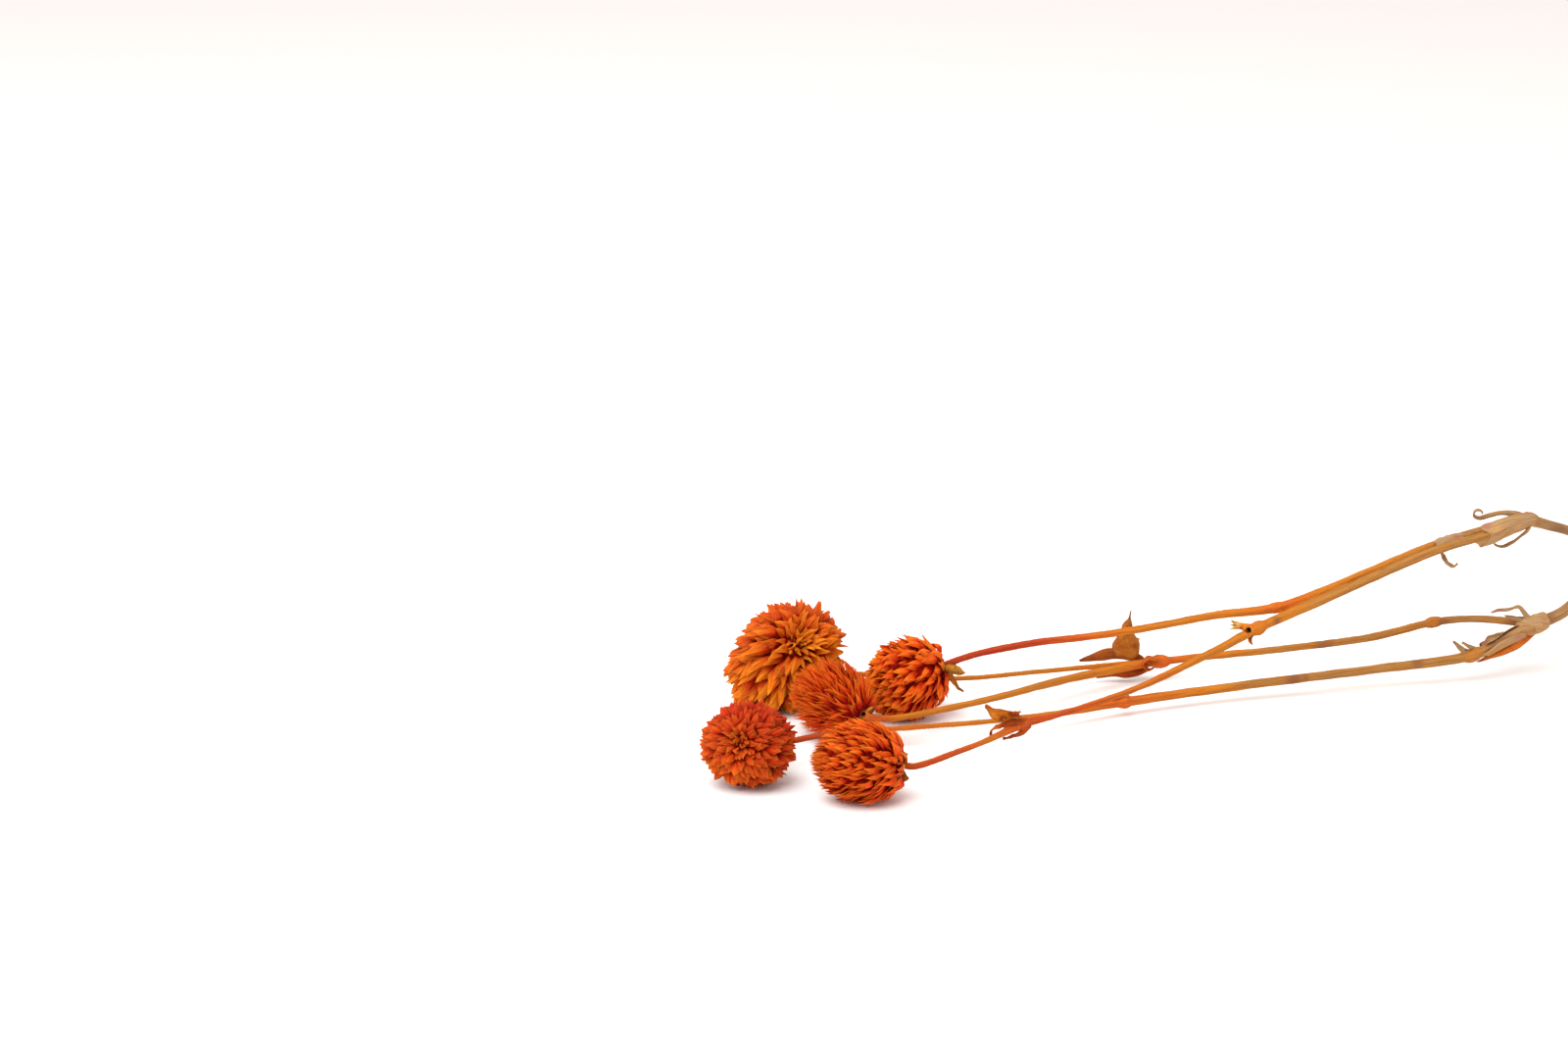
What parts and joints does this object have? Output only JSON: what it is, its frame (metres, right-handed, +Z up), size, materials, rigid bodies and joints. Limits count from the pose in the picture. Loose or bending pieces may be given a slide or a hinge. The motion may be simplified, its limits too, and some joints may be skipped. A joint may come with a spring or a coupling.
{
  "type": "preserved globe amaranth stem",
  "caption": "Dried, orange-dyed branching stem with round flower heads of pointed, shingled bracts, lying on its side.",
  "frame": {"origin": "middle of the outline on the surface that the stem lies on", "axes": "+X along the stem from the flower heads to the cut end, +Y away from the viewer, +Z up from the surface"},
  "size_m": [0.3478, 0.1964, 0.042],
  "materials": {
    "stem_ochre": "dry, faintly ribbed, ochre with tan bark low down",
    "bracts_orange": "dry papery bracts, orange with red-brown hollows",
    "bracts_red": "dry papery bracts, deep red-orange",
    "bracts_golden": "dry papery bracts, golden orange",
    "dry_leaf": "shrivelled dry leaf, veined, olive to brown-orange"
  },
  "bodies": {
    "root": {"stem": "stem_ochre", "head_front": "bracts_orange", "head_front_left": "bracts_red", "head_middle": "bracts_orange", "head_back_right": "bracts_orange", "head_back_left": "bracts_golden", "leafy_bracts_front": "dry_leaf", "leafy_bracts_front_left": "dry_leaf", "leafy_bracts_middle": "dry_leaf", "leafy_bracts_back_right": "dry_leaf", "leafy_bracts_back_left": "dry_leaf", "leaf_front_curled": "dry_leaf", "leaf_back_standing": "dry_leaf", "leaf_back_lying": "dry_leaf"}
  },
  "joints": []
}
